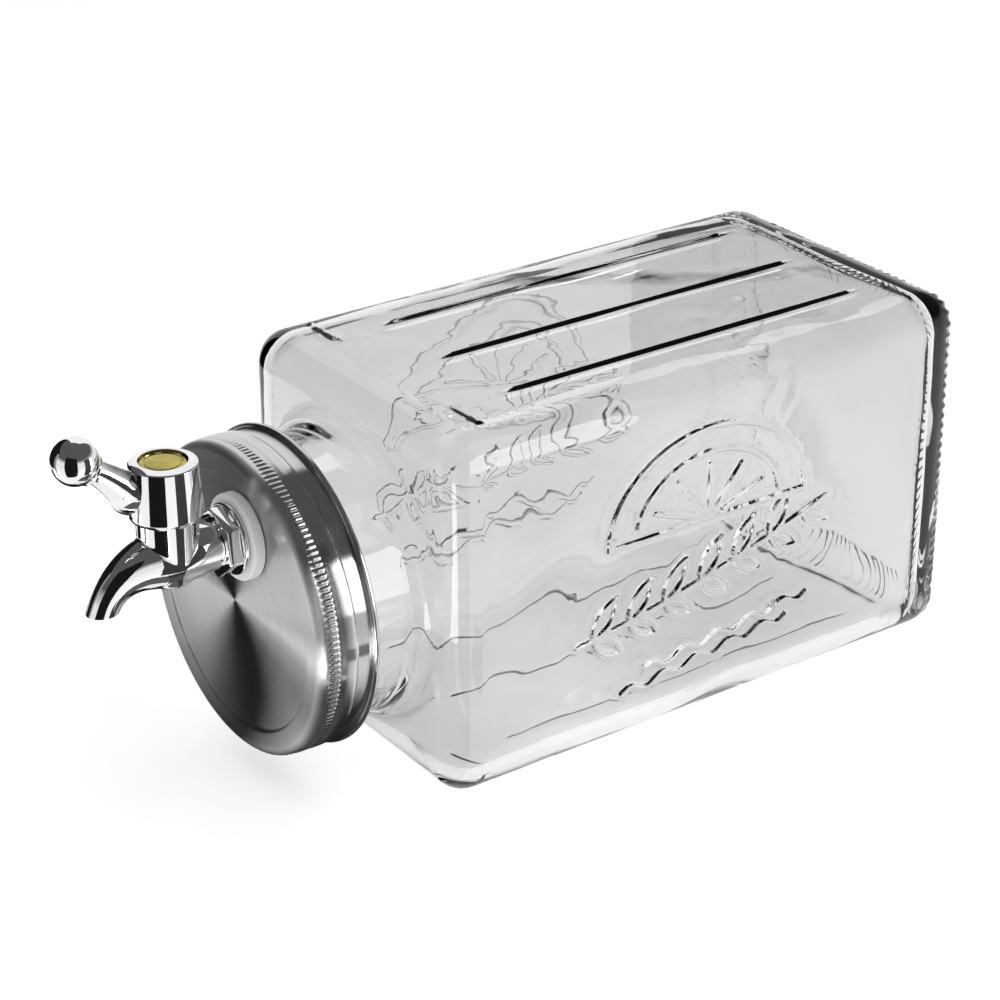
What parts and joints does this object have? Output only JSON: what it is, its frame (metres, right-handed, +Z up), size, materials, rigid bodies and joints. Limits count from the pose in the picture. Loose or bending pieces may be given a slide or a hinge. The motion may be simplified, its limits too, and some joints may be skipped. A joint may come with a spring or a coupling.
{
  "type": "beverage dispenser",
  "caption": "Square-section clear glass drinks jar that lies on its side, with a steel screw lid and a chrome quarter-turn lever tap through the lid.",
  "frame": {"origin": "middle of the flat crest of the middle underside rib, on which the jar rests", "axes": "+Z up, +Y along the jar's long axis towards its closed base, -Y towards the lid and the tap, X across the jar"},
  "size_m": [0.135, 0.3613, 0.1568],
  "materials": {
    "glass": "clear, polished",
    "steel": "circular brushed",
    "chrome": "mirror polished",
    "gold": "satin gold",
    "brass": "machined",
    "white_rubber": "matte",
    "dark_rubber": "matte",
    "white_plastic": "moulded"
  },
  "bodies": {
    "jar": {"jar": "glass"},
    "lid_carrier": {"lid_gasket": "white_rubber"},
    "lid": {"lid_shell": "steel", "lid_insert": "white_plastic", "outer_washer": "white_rubber", "inner_washer": "white_rubber", "slip_washer": "white_plastic", "lock_nut": "chrome", "tap_body": "chrome", "gland_nut": "brass", "thrust_washer": "white_plastic"},
    "valve": {"lever_handle": "chrome", "valve_plug": "brass", "plug_o_ring_upper": "dark_rubber", "plug_o_ring_lower": "dark_rubber", "stem_o_ring": "dark_rubber", "spring_washer": "steel", "handle_screw": "steel", "indicator_disc": "gold"}
  },
  "joints": [
    {"name": "lid_travel", "type": "slide", "parent": "jar", "child": "lid_carrier", "axis": [0, -1, 0], "range_m": [0, 0.0075]},
    {"name": "lid_turn", "type": "hinge", "parent": "lid_carrier", "child": "lid", "pos_m": [0, -0.1738, 0.07305], "axis": [0, -1, 0], "range_deg": [0, 450]},
    {"name": "tap_lever", "type": "hinge", "parent": "lid", "child": "valve", "pos_m": [0.00795, -0.2038, 0.1027], "axis": [0, 0, 1], "range_deg": [0, 90]}
  ],
  "couplings": [
    {"joint": "lid_travel", "follows": "lid_turn", "m_per_rad": 0.00095493}
  ]
}
